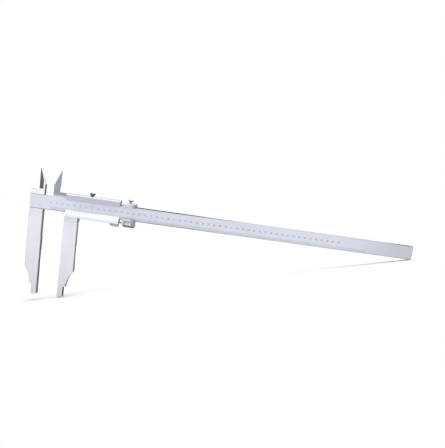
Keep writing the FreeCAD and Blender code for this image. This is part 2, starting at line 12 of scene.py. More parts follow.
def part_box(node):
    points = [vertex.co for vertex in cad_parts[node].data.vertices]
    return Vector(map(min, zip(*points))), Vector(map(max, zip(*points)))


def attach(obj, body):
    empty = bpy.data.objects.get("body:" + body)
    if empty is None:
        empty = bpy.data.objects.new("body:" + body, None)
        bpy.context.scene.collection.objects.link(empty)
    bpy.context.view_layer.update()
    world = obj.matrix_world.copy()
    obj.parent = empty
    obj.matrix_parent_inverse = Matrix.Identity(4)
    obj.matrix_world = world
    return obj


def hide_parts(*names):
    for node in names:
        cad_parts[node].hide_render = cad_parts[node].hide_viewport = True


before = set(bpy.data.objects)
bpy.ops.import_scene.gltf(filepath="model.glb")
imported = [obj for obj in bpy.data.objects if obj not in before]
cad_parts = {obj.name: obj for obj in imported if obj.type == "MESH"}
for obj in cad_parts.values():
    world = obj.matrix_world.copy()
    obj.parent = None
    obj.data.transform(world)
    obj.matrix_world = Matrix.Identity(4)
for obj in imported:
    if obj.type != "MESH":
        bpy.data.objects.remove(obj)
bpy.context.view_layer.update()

log = logging.getLogger("vernier_caliper")

FaceTest = Callable[[Vector, Vector], bool]
Piece = bpy.types.Object
Tree = bpy.types.NodeTree
Node = bpy.types.Node
Socket = bpy.types.NodeSocket

MM = 0.001
CM = 0.01
PATCHES_PER_METRE = 28.0
GRAIN_STRENGTH = 0.35
NOISE_LOW = 0.25
NOISE_HIGH = 0.75
# Normals that agree more closely than this cosine carry no painted edge highlight or shade.
UNPAINTED_TURN = 0.99
BEVEL_SAMPLES = 4
SMOOTH_ANGLE = math.radians(32)
FIGURE_SHARE = 0.7
TOUCH = 0.05 * MM
SCREW_HEAD = 6 * MM
MERGE_REACH = 1e-7
SQUARE_ON = 0.9
BARELY = 0.05


class Grain(Enum):
    """The way a surface was last worked, as the stretch of its fine pattern along X, Y and Z."""

    ALONG_BEAM = (0.02, 1.0, 1.0)
    ALONG_JAW = (1.0, 1.0, 0.02)
    ACROSS = (1.0, 0.03, 1.0)
    TURNED = (1.0, 1.0, 0.15)
    BLASTED = (1.0, 1.0, 1.0)


class Way(Enum):
    """Which way a face looks."""

    LEFT = (-1.0, 0.0, 0.0)
    RIGHT = (1.0, 0.0, 0.0)
    FRONT = (0.0, -1.0, 0.0)
    UP = (0.0, 0.0, 1.0)
    DOWN = (0.0, 0.0, -1.0)


def linear(red: int, green: int, blue: int) -> tuple[float, float, float]:
    """Turn a screen colour into linear light.

    Args:
        red: Red from 0 to 255.
        green: Green from 0 to 255.
        blue: Blue from 0 to 255.

    Returns:
        The colour as three linear values.
    """
    shares = (value / 255 for value in (red, green, blue))
    return tuple(s / 12.92 if s <= 0.04045 else ((s + 0.055) / 1.055) ** 2.4 for s in shares)


def combine(tree: Tree, operation: str, first: Socket, second: Socket) -> Socket:
    """Join two values of a material or the world.

    Args:
        tree: The nodes.
        operation: What is done with the values, such as MULTIPLY.
        first: One value.
        second: The other value.

    Returns:
        The socket with the outcome.
    """
    node = tree.nodes.new("ShaderNodeMath")
    node.operation = operation
    tree.links.new(first, node.inputs[0])
    tree.links.new(second, node.inputs[1])
    return node.outputs["Value"]


@dataclass(frozen=True)
class Fade:
    """A slow change of tone along one axis of the object."""

    axis: str
    start: float
    end: float
    tone: float


@dataclass(frozen=True)
class Finish:
    """A worked metal surface: its colour, its shine, its grain, painted highlight and shade along its edges
    and tone fading along its axes.
    """

    name: str
    colour: tuple[float, float, float]
    grain: Grain
    metallic: float = 0.55
    roughness: float = 0.42
    spread: float = 0.08
    pitch: float = 0.12 * MM
    depth: float = 0.004 * MM
    patina: float = 0.035
    edge_radius: float = 0.22 * MM
    # Above 1 a painted highlight along the edges, below 1 painted shade along them.
    edge_tone: float = 1.12
    fades: tuple[Fade, ...] = ()
    # Changes of the painted edge highlight and shade along the axes.
    edge_fades: tuple[Fade, ...] = ()
    edge_turn: float = 0.75
    specular: float = 0.5

    def material(self) -> bpy.types.Material:
        """Make the finish's material once and give it back from then on.

        Returns:
            The material, whose pattern follows the object's own coordinates.
        """
        known = bpy.data.materials.get(self.name)
        if known is not None:
            return known
        material = bpy.data.materials.new(self.name)
        material.use_nodes = True
        tree = material.node_tree
        tree.nodes.clear()
        output = tree.nodes.new("ShaderNodeOutputMaterial")
        shader = tree.nodes.new("ShaderNodeBsdfPrincipled")
        shader.inputs["Metallic"].default_value = self.metallic
        shader.inputs["Specular IOR Level"].default_value = self.specular
        tree.links.new(shader.outputs["BSDF"], output.inputs["Surface"])
        place = tree.nodes.new("ShaderNodeTexCoord")
        lines = self._noise(tree, place, [s / self.pitch for s in self.grain.value], 3.0)
        cloud = self._noise(tree, place, [PATCHES_PER_METRE] * 3, 2.0)
        self._link_roughness(tree, shader, lines)
        self._link_colour(tree, shader, place, lines, cloud)
        self._link_bump(tree, shader, lines)
        return material

    @staticmethod
    def _noise(tree: Tree, place: Node, stretch: Sequence[float], detail: float) -> Node:
        """Add a noise pattern on the object's coordinates.

        Args:
            tree: The material's nodes.
            place: The node that gives the coordinates.
            stretch: How many grains there are in a metre along each axis.
            detail: How many finer layers the pattern has.

        Returns:
            The noise node.
        """
        mapping = tree.nodes.new("ShaderNodeMapping")
        mapping.inputs["Scale"].default_value = tuple(stretch)
        noise = tree.nodes.new("ShaderNodeTexNoise")
        noise.inputs["Scale"].default_value = 1.0
        noise.inputs["Detail"].default_value = detail
        tree.links.new(place.outputs["Object"], mapping.inputs["Vector"])
        tree.links.new(mapping.outputs["Vector"], noise.inputs["Vector"])
        return noise

    @staticmethod
    def _spread(tree: Tree, source: Socket, low: float, high: float) -> Socket:
        """Spread a pattern between two values.

        Args:
            tree: The material's nodes.
            source: The pattern's value.
            low: What its dark parts become.
            high: What its light parts become.

        Returns:
            The socket with the spread value.
        """
        node = tree.nodes.new("ShaderNodeMapRange")
        node.inputs["From Min"].default_value = NOISE_LOW
        node.inputs["From Max"].default_value = NOISE_HIGH
        node.inputs["To Min"].default_value = low
        node.inputs["To Max"].default_value = high
        tree.links.new(source, node.inputs["Value"])
        return node.outputs["Result"]

    def _link_roughness(self, tree: Tree, shader: Node, lines: Node) -> None:
        """Let the grain vary how dull the surface is.

        Args:
            tree: The material's nodes.
            shader: The surface shader.
            lines: The grain's pattern.
        """
        low = self.roughness - self.spread
        high = self.roughness + self.spread
        value = self._spread(tree, lines.outputs["Fac"], low, high)
        tree.links.new(value, shader.inputs["Roughness"])

    def _link_colour(self, tree: Tree, shader: Node, place: Node, lines: Node, cloud: Node) -> None:
        """Vary the colour with the grain, a slow patina, the painted highlight and shade along the edges and
        the fades along the axes.

        Args:
            tree: The material's nodes.
            shader: The surface shader.
            place: The node that gives the coordinates.
            lines: The grain's pattern.
            cloud: The slow pattern.
        """
        low = 1 - self.patina
        high = 1 + self.patina
        grain = self._spread(tree, lines.outputs["Fac"], low, high)
        patches = self._spread(tree, cloud.outputs["Fac"], low, high)
        tone = combine(tree, "MULTIPLY", grain, patches)
        # Painted highlight and shade along the edges.
        tone = combine(tree, "MULTIPLY", tone, self._edge_tone(tree, place))
        # Tone fading along the axes; on the beam, blade and carriage it is painted light and shade.
        for fade in self.fades:
            tone = combine(tree, "MULTIPLY", tone, self._fade(tree, place, fade))
        tint = tree.nodes.new("ShaderNodeVectorMath")
        tint.operation = "SCALE"
        tint.inputs[0].default_value = self.colour
        tree.links.new(tone, tint.inputs["Scale"])
        tree.links.new(tint.outputs["Vector"], shader.inputs["Base Color"])

    @staticmethod
    def _fade(tree: Tree, place: Node, fade: Fade, first: float = 1.0) -> Socket:
        """Let a tone change along one axis.

        Args:
            tree: The material's nodes.
            place: The node that gives the coordinates.
            fade: Where the tone changes, and to how much of itself.
            first: The tone before the change.

        Returns:
            The socket with the tone.
        """
        split = tree.nodes.new("ShaderNodeSeparateXYZ")
        tree.links.new(place.outputs["Object"], split.inputs["Vector"])
        ramp = tree.nodes.new("ShaderNodeMapRange")
        ramp.interpolation_type = "SMOOTHSTEP"
        ramp.inputs["From Min"].default_value = fade.start
        ramp.inputs["From Max"].default_value = fade.end
        ramp.inputs["To Min"].default_value = first
        ramp.inputs["To Max"].default_value = first * fade.tone
        tree.links.new(split.outputs[fade.axis], ramp.inputs["Value"])
        return ramp.outputs["Result"]

    def _edge_tone(self, tree: Tree, place: Node) -> Socket:
        """Find the edges, where the rounded and the flat direction of the surface differ, and paint a
        highlight there above a tone of 1 and shade below it.

        Args:
            tree: The material's nodes.
            place: The node that gives the coordinates.

        Returns:
            The socket with the tone, 1 away from the edges.
        """
        rounded = tree.nodes.new("ShaderNodeBevel")
        rounded.samples = BEVEL_SAMPLES
        rounded.inputs["Radius"].default_value = self.edge_radius
        flat = tree.nodes.new("ShaderNodeNewGeometry")
        dot = tree.nodes.new("ShaderNodeVectorMath")
        dot.operation = "DOT_PRODUCT"
        tree.links.new(rounded.outputs["Normal"], dot.inputs[0])
        tree.links.new(flat.outputs["Normal"], dot.inputs[1])
        ramp = tree.nodes.new("ShaderNodeMapRange")
        ramp.inputs["From Min"].default_value = self.edge_turn
        ramp.inputs["From Max"].default_value = UNPAINTED_TURN
        ramp.inputs["To Min"].default_value = self.edge_tone
        ramp.inputs["To Max"].default_value = 1.0
        if self.edge_fades:
            deepest = self._fade(tree, place, self.edge_fades[0], self.edge_tone)
            for fade in self.edge_fades[1:]:
                deepest = combine(tree, "MULTIPLY", deepest, self._fade(tree, place, fade))
            tree.links.new(deepest, ramp.inputs["To Min"])
        tree.links.new(dot.outputs["Value"], ramp.inputs["Value"])
        return ramp.outputs["Result"]

    def _link_bump(self, tree: Tree, shader: Node, lines: Node) -> None:
        """Give the grain its height on softly rounded edges.

        Args:
            tree: The material's nodes.
            shader: The surface shader.
            lines: The grain's pattern.
        """
        rounded = tree.nodes.new("ShaderNodeBevel")
        rounded.samples = BEVEL_SAMPLES
        rounded.inputs["Radius"].default_value = self.edge_radius
        bump = tree.nodes.new("ShaderNodeBump")
        bump.inputs["Strength"].default_value = GRAIN_STRENGTH
        bump.inputs["Distance"].default_value = self.depth
        tree.links.new(lines.outputs["Fac"], bump.inputs["Height"])
        tree.links.new(rounded.outputs["Normal"], bump.inputs["Normal"])
        tree.links.new(bump.outputs["Normal"], shader.inputs["Normal"])


# Satin chrome beam with painted light: darker towards the right end as a painted reflection, lighter over
# the head as a painted highlight, and painted dark lines along its edges, strongest over its left part.
BEAM_FACE = Finish("beam_satin_chrome_painted_light", linear(205, 209, 221), Grain.ALONG_BEAM,
                   edge_radius=1.2 * MM, edge_tone=0.15, edge_turn=0.93,
                   fades=(Fade("X", 0.50, 0.64, 0.79), Fade("X", 0.10, 0.0, 1.13)),
                   edge_fades=(Fade("X", 0.20, 0.36, 5.6), Fade("X", 0.14, 0.10, 5.6)))
# Painted shade on the beam's top, bottom and upper chamfer: near black over the left part, lighter further
# right, darker again near the right end, lighter over the head.
BEAM_EDGE_SHADE = Finish("beam_edge_painted_shade", linear(24, 24, 26), Grain.ALONG_BEAM,
                   metallic=0.0, roughness=0.6, specular=0.1,
                   fades=(Fade("X", 0.22, 0.38, 52.0), Fade("X", 0.58, 0.63, 0.3),
                          Fade("X", 0.10, 0.02, 52.0)))
# Painted shade under the beam: its lower front chamfer near black over the left part, lighter to the right
# and over the head.
BEAM_LOW_EDGE_SHADE = Finish("beam_lower_chamfer_painted_shade", linear(16, 16, 18), Grain.ALONG_BEAM,
                       metallic=0.0, roughness=0.6, specular=0.1,
                       fades=(Fade("X", 0.20, 0.36, 60.0), Fade("X", 0.06, 0.00, 40.0)))
HEAD_FACE = Finish("head_ground_chrome", linear(240, 241, 245), Grain.ALONG_BEAM,
                   edge_radius=0.5 * MM, edge_tone=0.8)
JAW_FACE = Finish("jaw_ground_steel", linear(224, 225, 233), Grain.ALONG_JAW,
                  edge_radius=0.6 * MM, edge_tone=0.65, fades=(Fade("Z", 0.08, -0.05, 0.84),))
# Lapped steel on faces that look right and on the jaws' measuring faces; its dark blue-grey is painted
# shade, its edges a painted highlight.
LAPPED_SIDE_SHADE = Finish("lapped_steel_painted_shade", linear(60, 62, 78), Grain.ALONG_JAW,
                metallic=0.7, roughness=0.3, edge_tone=1.2)
# Painted shade: the fixed blade's bevel, facing front-left, dark as a painted reflection of the dark side;
# its edges carry a painted highlight.
KNIFE_BEVEL_SHADE = Finish("knife_bevel_painted_shade", linear(82, 84, 98), Grain.ALONG_JAW,
                     metallic=0.7, roughness=0.34, edge_tone=1.2)
# Grey blade steel whose lower part is painted 1.8 times lighter as a painted reflection; its edges carry
# painted shade.
BLADE_GREY = Finish("blade_steel_painted_sheen", linear(154, 157, 170), Grain.ALONG_JAW,
                    metallic=0.6, roughness=0.38, edge_radius=0.5 * MM, edge_tone=0.8,
                    fades=(Fade("Z", 0.1262, 0.1248, 1.8),))
# Painted shade: dark grey on faces that look left, down or off the beam's end, and on the blade's top.
SIDE_GREY_SHADE = Finish("side_face_painted_shade", linear(90, 92, 104), Grain.ALONG_BEAM, metallic=0.6, roughness=0.36)
# Painted shade: a darker copy of the slider's steel on the rail's front, which leans down a little; its
# edges carry painted shade.
RAIL_BAND_SHADE = Finish("rail_band_painted_shade", linear(181, 184, 197), Grain.ALONG_BEAM,
                   edge_radius=0.8 * MM, edge_tone=0.7)
# Painted shade: darker grey on faces that look up, which the overhead lamp would light brighter.
TOP_FACE_SHADE = Finish("top_face_painted_shade", linear(146, 147, 156), Grain.ALONG_BEAM)
SLIDER_FACE = Finish("slider_satin_steel", linear(214, 216, 228), Grain.ALONG_BEAM,
                     edge_radius=0.9 * MM, edge_tone=0.6)
# Painted shade: a darker copy of the slider's steel round the lug under the vernier plate.
LUG_SHADE = Finish("lug_painted_shade", linear(158, 160, 170), Grain.ALONG_BEAM)
VERNIER_FACE = Finish("vernier_matt_chrome", linear(236, 238, 244), Grain.BLASTED,
                      metallic=0.35, roughness=0.55, edge_radius=0.4 * MM, edge_tone=0.85)
# Milled carriage steel with painted shade: half the tone at its right end, darker at its bottom, and dark
# painted shade along its edges.
CARRIAGE_FACE = Finish("carriage_steel_painted_shade", linear(198, 200, 211), Grain.ALONG_BEAM,
                       edge_radius=0.9 * MM, edge_tone=0.35,
                       fades=(Fade("X", 0.146, 0.154, 0.5), Fade("Z", 0.0904, 0.0884, 0.34)))
SCREW_DARK = Finish("dark_screw_steel", linear(98, 100, 108), Grain.TURNED,
                    metallic=0.75, roughness=0.34, edge_tone=1.5)
SCREW_GREY = Finish("plain_screw_steel", linear(140, 142, 150), Grain.TURNED,
                    metallic=0.75, roughness=0.34, edge_tone=1.3)
SPRING = Finish("bright_spring_steel", linear(176, 178, 188), Grain.ALONG_BEAM, metallic=0.8, roughness=0.28)
NUT_STEEL = Finish("knurled_nut_steel", linear(196, 198, 208), Grain.ACROSS, metallic=0.7, roughness=0.32)
FINE_LINES = Finish("engraved_grey_fill", linear(150, 152, 164), Grain.BLASTED,
                    metallic=0.0, roughness=0.7, pitch=0.3 * MM, patina=0.12, edge_tone=1.0)
ENGRAVED = Finish("engraved_dark_fill", linear(72, 74, 84), Grain.BLASTED,
                  metallic=0.0, roughness=0.7, pitch=0.3 * MM, patina=0.12, edge_tone=1.0)


def looks(way: Way, least: float = SQUARE_ON) -> FaceTest:
    """Pick the faces that look one way.

    Args:
        way: The direction.
        least: How closely they look that way, as a cosine.

    Returns:
        A test of a face's normal and middle.
    """
    direction = Vector(way.value)
    return lambda normal, middle: normal.dot(direction) >= least


def slants(first: Way, second: Way) -> FaceTest:
    """Pick the faces that look between two ways, such as a chamfer.

    Args:
        first: One direction.
        second: The other direction.

    Returns:
        A test of a face's normal and middle.
    """
    one, other = Vector(first.value), Vector(second.value)
    return lambda normal, middle: normal.dot(one) > BARELY and normal.dot(other) > BARELY


def dress_node(name: str, finish: Finish, *accents: tuple[FaceTest, Finish]) -> None:
    """Give a carried-over node its finish, with other finishes on the faces that a test picks.

    Args:
        name: The node.
        finish: The finish of most of it.
        accents: Pairs of a face test and its finish; the last that fits counts.
    """
    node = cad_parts[name]
    mesh = node.data
    mesh.materials.clear()
    for one in (finish, *(extra for _, extra in accents)):
        mesh.materials.append(one.material())
    for face in mesh.polygons:
        chosen = 0
        for number, (test, _) in enumerate(accents, start=1):
            if test(face.normal, face.center):
                chosen = number
        face.material_index = chosen
    log.info("dressed %s in %s", name, finish.name)


def deselect() -> None:
    """Leave edit mode and deselect every object."""
    if bpy.context.object is not None and bpy.context.object.mode != "OBJECT":
        bpy.ops.object.mode_set(mode="OBJECT")
    bpy.ops.object.select_all(action="DESELECT")


def pick(obj: Piece, test: Callable[[bmesh.types.BMVert], bool]) -> None:
    """Select the vertices of the mesh in edit mode that a test picks, and the faces between them.

    Args:
        obj: The object in edit mode.
        test: Tells from a vertex if it is picked.
    """
    mesh = bmesh.from_edit_mesh(obj.data)
    for face in mesh.faces:
        face.select_set(False)
    for edge in mesh.edges:
        edge.select_set(False)
    for vertex in mesh.verts:
        vertex.select_set(test(vertex))
    mesh.select_flush(True)
    bmesh.update_edit_mesh(obj.data)


def apply_place(obj: Piece) -> None:
    """Put the object's place, turn and scale into its mesh."""
    deselect()
    obj.select_set(True)
    bpy.context.view_layer.objects.active = obj
    bpy.ops.object.transform_apply(location=True, rotation=True, scale=True)


def outward(obj: Piece) -> None:
    """Merge the doubles of the mesh and turn its faces outwards."""
    deselect()
    obj.select_set(True)
    bpy.context.view_layer.objects.active = obj
    bpy.ops.object.mode_set(mode="EDIT")
    bpy.ops.mesh.select_all(action="SELECT")
    bpy.ops.mesh.remove_doubles(threshold=MERGE_REACH)
    bpy.ops.mesh.normals_make_consistent(inside=False)
    bpy.ops.object.mode_set(mode="OBJECT")


def join(pieces: list[Piece], name: str) -> Piece:
    """Join pieces into one.

    Args:
        pieces: The pieces.
        name: The name of what they become.

    Returns:
        The joined piece.
    """
    deselect()
    for piece in pieces:
        piece.select_set(True)
    bpy.context.view_layer.objects.active = pieces[0]
    bpy.ops.object.join()
    joined = bpy.context.object
    joined.name = name
    return joined


def complete(obj: Piece, name: str, body: str, finish: Finish, smooth: bool = True) -> None:
    """Name, dress and hang a new piece on the body that carries it.

    Args:
        obj: The piece, in place.
        name: Its name.
        body: The body that it moves with.
        finish: Its finish.
        smooth: Shade its gentle edges smooth.
    """
    obj.name = name
    obj.data.name = name
    obj.data.materials.clear()
    obj.data.materials.append(finish.material())
    deselect()
    obj.select_set(True)
    bpy.context.view_layer.objects.active = obj
    if smooth:
        bpy.ops.object.shade_smooth_by_angle(angle=SMOOTH_ANGLE)
    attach(obj, body)
    log.info("made %s on %s with %d faces", name, body, len(obj.data.polygons))


@dataclass
class LineRow:
    """A row of engraved lines of one height, drawn on a plane whose Z starts at the lines' base."""

    first: float
    pitch: float
    count: int
    low: float
    high: float
    width: float = 0.22 * MM
    relief: float = 0.012 * MM
    top_width: float = 0.7
    top_height: float = 0.985

    def build(self) -> Piece:
        """Model one line with sloped walls and repeat it along X.

        Returns:
            The row, on the plane Y = 0.
        """
        deselect()
        middle = (self.low + self.high) / 2
        bpy.ops.mesh.primitive_cube_add(size=1, location=(self.first, -self.relief / 2, middle))
        line = bpy.context.object
        line.scale = (self.width, self.relief, self.high - self.low)
        apply_place(line)
        bpy.ops.object.mode_set(mode="EDIT")
        pick(line, lambda vertex: vertex.co.y < -self.relief / 2)
        bpy.ops.transform.resize(value=(self.top_width, 1.0, self.top_height))
        bpy.ops.object.mode_set(mode="OBJECT")
        if self.count > 1:
            array = line.modifiers.new("row", "ARRAY")
            array.count = self.count
            array.use_relative_offset = False
            array.use_constant_offset = True
            array.constant_offset_displace = (self.pitch, 0, 0)
            bpy.ops.object.modifier_apply(modifier=array.name)
        return line


@dataclass
class Figures:
    """Plain numbers engraved at an even pitch."""

    labels: Sequence[str]
    first: float
    pitch: float
    height: float
    middle: float
    relief: float = 0.012 * MM

    def build(self, name: str) -> Piece:
        """Write the numbers, make them meshes and join them.

        Args:
            name: The name of the joined piece.

        Returns:
            The numbers, facing the front on the plane Y = 0.
        """
        made = []
        for number, label in enumerate(self.labels):
            deselect()
            bpy.ops.object.text_add(location=(0, 0, 0))
            text = bpy.context.object
            text.data.body = label
            text.data.size = self.height / FIGURE_SHARE
            text.data.align_x = "CENTER"
            text.data.align_y = "CENTER"
            text.data.extrude = self.relief / 2
            text.data.resolution_u = 2
            bpy.ops.object.convert(target="MESH")
            text = bpy.context.object
            text.rotation_euler = (math.pi / 2, 0, 0)
            text.location = (self.first + number * self.pitch, -self.relief / 2, self.middle)
            apply_place(text)
            made.append(text)
        return join(made, name)


@dataclass
class MainBeam:
    """The graduated beam with its scale lines, numbers and stop screw."""

    zero: float = 12.0 * MM
    length: int = 550
    last_number: int = 50
    line_low: float = 1.0 * MM
    short_line: float = 4.4 * MM
    middle_line: float = 5.2 * MM
    long_line: float = 6.3 * MM
    number_height: float = 2.9 * MM
    number_middle: float = 12.8 * MM

    def build(self) -> None:
        """Dress the beam, then engrave its scale."""
        low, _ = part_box("beam")
        # The beam's top, bottom and upper chamfer carry painted shade, its lower chamfer darker painted
        # shade, its end dark grey painted shade.
        edges = (
            (looks(Way.UP), BEAM_EDGE_SHADE),
            (looks(Way.DOWN), BEAM_EDGE_SHADE),
            (slants(Way.FRONT, Way.UP), BEAM_EDGE_SHADE),
            (slants(Way.FRONT, Way.DOWN), BEAM_LOW_EDGE_SHADE),
            (looks(Way.RIGHT, 0.99), SIDE_GREY_SHADE),
        )
        dress_node("beam", BEAM_FACE, *edges)
        dress_node("beam_stop_screw", SCREW_DARK)
        self._lines(low)
        self._numbers(low)

    def _lines(self, low: Vector) -> None:
        """Engrave a line each millimetre, longer at each fifth and tenth.

        Args:
            low: The beam's lowest corner.
        """
        base = self.line_low
        short_top = base + self.short_line
        tens = self.length // 10
        rows = [
            LineRow(self.zero, MM, self.length + 1, base, short_top),
            LineRow(self.zero + CM / 2, CM, tens, short_top, base + self.middle_line),
            LineRow(self.zero, CM, tens + 1, short_top, base + self.long_line),
        ]
        scale = join([row.build() for row in rows], "main_scale_lines")
        scale.location = (0, low.y, low.z)
        apply_place(scale)
        complete(scale, "main_scale_lines", "root", FINE_LINES, smooth=False)

    def _numbers(self, low: Vector) -> None:
        """Engrave the centimetres above the long lines.

        Args:
            low: The beam's lowest corner.
        """
        labels = [str(number) for number in range(self.last_number + 1)]
        row = Figures(labels, self.zero, CM, self.number_height, self.number_middle)
        numbers = row.build("main_scale_numbers")
        numbers.location = (0, low.y, low.z)
        apply_place(numbers)
        complete(numbers, "main_scale_numbers", "root", ENGRAVED, smooth=False)


@dataclass
class FixedJaw:
    """The fixed lower jaw, the head plate and the fixed knife-edge blade."""

    head_line: float = 122.9 * MM
    bevel_lean: float = 0.3

    def build(self) -> None:
        """Dress the jaw, its head, its blade and its rivets."""
        # Painted shade on the jaw's sides, underside, top and knife bevel, and on its right measuring face
        # in dark lapped steel.
        dress_node(
            "fixed_jaw", JAW_FACE,
            (looks(Way.LEFT, 0.6), SIDE_GREY_SHADE),
            (looks(Way.RIGHT, 0.97), LAPPED_SIDE_SHADE),
            (looks(Way.DOWN, 0.6), SIDE_GREY_SHADE),
            (self._on_head, HEAD_FACE),
            (looks(Way.UP, 0.6), TOP_FACE_SHADE),
            (self._on_bevel, KNIFE_BEVEL_SHADE),
        )
        dress_node("jaw_rivets", BEAM_FACE)

    def _on_head(self, normal: Vector, middle: Vector) -> bool:
        """Tell if a face lies on the front of the head or the blade."""
        return normal.y < -SQUARE_ON and middle.z > self.head_line

    def _on_bevel(self, normal: Vector, middle: Vector) -> bool:
        """Tell if a face is the ground bevel of the knife-edge blade."""
        return max(normal.x, normal.y) < -self.bevel_lean and middle.z > self.head_line


@dataclass
class Slider:
    """The sliding channel with its jaw, blade, gib and fasteners."""

    lug_left: float = 112.0 * MM
    lug_top: float = 89.9 * MM
    rail_lean: float = 0.5

    def build(self) -> None:
        """Dress the slider's own pieces."""
        # Painted shade on the frame's sides, underside, top, rail front and lug, on the jaw's sides and
        # underside and on the blade's top.
        dress_node(
            "slider_frame", SLIDER_FACE,
            (looks(Way.LEFT), SIDE_GREY_SHADE),
            (looks(Way.RIGHT), LAPPED_SIDE_SHADE),
            (looks(Way.DOWN), SIDE_GREY_SHADE),
            (looks(Way.UP), TOP_FACE_SHADE),
            (slants(Way.FRONT, Way.UP), TOP_FACE_SHADE),
            (self._on_band, RAIL_BAND_SHADE),
            (self._on_lug, LUG_SHADE),
        )
        dress_node(
            "slider_jaw", JAW_FACE,
            (looks(Way.LEFT, 0.6), LAPPED_SIDE_SHADE),
            (looks(Way.RIGHT, 0.6), LAPPED_SIDE_SHADE),
            (looks(Way.DOWN, 0.6), SIDE_GREY_SHADE),
        )
        dress_node("slider_jaw_rivets", SLIDER_FACE)
        dress_node("slider_blade", BLADE_GREY, (looks(Way.UP), SIDE_GREY_SHADE))
        dress_node("slider_blade_screws", SCREW_DARK)
        dress_node("slider_gib", SPRING)
        dress_node("slider_gib_screws", SCREW_DARK)
        dress_node("fine_screw_lock", SCREW_DARK)

    def _on_band(self, normal: Vector, middle: Vector) -> bool:
        """Tell if a face is the rail's front, which leans down a little."""
        return normal.y < -SQUARE_ON and -self.rail_lean < normal.z < -BARELY

    def _on_lug(self, normal: Vector, middle: Vector) -> bool:
        """Tell if a face lies round the lug that holds the fine screw."""
        return middle.x > self.lug_left and middle.z < self.lug_top and abs(normal.x) < SQUARE_ON


@dataclass
class VernierScale:
    """The vernier plate with its fifty divisions in forty-nine millimetres."""

    zero: float = 48.0 * MM
    divisions: int = 50
    pitch: float = 0.98 * MM
    face_low: tuple[float, float] = (-6.0 * MM, 95.5 * MM)
    face_high: tuple[float, float] = (-3.9 * MM, 102.7 * MM)
    short_line: float = 2.2 * MM
    long_line: float = 3.1 * MM
    number_height: float = 1.7 * MM
    number_drop: float = 4.6 * MM
    line_width: float = 0.14 * MM

    def build(self) -> None:
        """Dress the plate, then engrave its lines and numbers on the bevel."""
        # Painted shade on the plate's two ends.
        dress_node("vernier_plate", VERNIER_FACE, (looks(Way.RIGHT), LAPPED_SIDE_SHADE), (looks(Way.LEFT), SIDE_GREY_SHADE))
        dress_node("vernier_plate_screws", VERNIER_FACE)
        fifth = 5 * self.pitch
        labels = [str(number) for number in range(self.divisions // 5 + 1)]
        rows = [
            LineRow(self.zero, self.pitch, self.divisions + 1, -self.short_line, 0, self.line_width),
            LineRow(self.zero, fifth, len(labels), -self.long_line, -self.short_line, self.line_width),
        ]
        lines = join([row.build() for row in rows], "vernier_lines")
        self._lay(lines)
        complete(lines, "vernier_lines", "slider", ENGRAVED, smooth=False)
        row = Figures(labels, self.zero, fifth, self.number_height, -self.number_drop)
        numbers = row.build("vernier_numbers")
        self._lay(numbers)
        complete(numbers, "vernier_numbers", "slider", ENGRAVED, smooth=False)

    def _lay(self, piece: Piece) -> None:
        """Tilt a piece onto the bevel, with its Z = 0 at the reading edge.

        Args:
            piece: Lines or numbers drawn on the plane Y = 0.
        """
        run = self.face_high[0] - self.face_low[0]
        rise = self.face_high[1] - self.face_low[1]
        piece.rotation_euler = (-math.atan2(run, rise), 0, 0)
        piece.location = (0, self.face_high[0], self.face_high[1])
        apply_place(piece)


def grow(height: float, widen: float) -> None:
    """Extrude the selected top face upwards and scale it.

    Args:
        height: How far up, or down where it is negative.
        widen: The scale in X and Y.
    """
    bpy.ops.mesh.extrude_region_move(TRANSFORM_OT_translate={"value": (0, 0, height)})
    bpy.ops.transform.resize(value=(widen, widen, 1.0))


def in_groove(x: float, y: float, radius: float, teeth: int) -> bool:
    """Tell if a point lies in a groove of a straight knurl.

    Args:
        x: How far it lies from the axis one way.
        y: How far it lies from the axis the other way.
        radius: The radius from which the grooves are cut.
        teeth: How many teeth the knurl has.

    Returns:
        True in a groove, false on a tooth or inside the radius.
    """
    step = math.atan2(y, x) / (math.pi / teeth)
    return math.hypot(x, y) > radius - TOUCH and round(step) % 2 == 0


@dataclass
class ClampScrew:
    """A thumb screw with a straight-knurled rim over a cone."""

    node: str
    body: str
    axis_x: float
    seat: float
    low: float
    neck: float
    cone: float
    rim_height: float
    shank: float = 2.0 * MM
    rim: float = 4.8 * MM
    groove: float = 0.94
    dish: float = 0.5 * MM
    dish_floor: float = 0.9
    boss_ring: float = 0.8 * MM
    boss_rise: float = 0.15 * MM
    boss_top: float = 0.8
    chamfer: float = 0.3 * MM
    teeth: int = 36
    finish: Finish = SCREW_DARK

    def build(self) -> None:
        """Extrude the screw upwards from its tip, then cut the knurl into the rim."""
        deselect()
        bpy.ops.mesh.primitive_circle_add(vertices=2 * self.teeth, radius=self.shank - self.chamfer,
                                          fill_type="NGON", location=(self.axis_x, 0, self.low))
        screw = bpy.context.object
        apply_place(screw)
        bpy.ops.object.mode_set(mode="EDIT")
        bpy.ops.mesh.select_all(action="SELECT")
        cone_low = self.seat + self.neck
        rim_low = cone_low + self.cone
        grow(self.chamfer, self.shank / (self.shank - self.chamfer))
        grow(cone_low - self.low - self.chamfer, 1.0)
        grow(self.cone, self.rim / self.shank)
        grow(self.chamfer, 1.0)
        grow(self.rim_height - self.chamfer - self.dish, 1.0)
        grow(self.dish, (self.rim - self.dish) / self.rim)
        bpy.ops.mesh.inset(thickness=self.dish * 2)
        grow(-self.dish, self.dish_floor)
        bpy.ops.mesh.inset(thickness=self.boss_ring)
        grow(self.boss_rise, self.boss_top)
        pick(screw, lambda vertex: vertex.co.z > rim_low + self.chamfer / 2 and self._in_groove(vertex.co))
        bpy.ops.transform.resize(value=(self.groove, self.groove, 1.0))
        outward(screw)
        complete(screw, f"{self.node}_knurled", self.body, self.finish)
        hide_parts(self.node)

    def _in_groove(self, place: Vector) -> bool:
        """Tell if a point on the rim lies in one of the knurl's grooves."""
        return in_groove(place.x - self.axis_x, place.y, self.rim - self.dish, self.teeth)


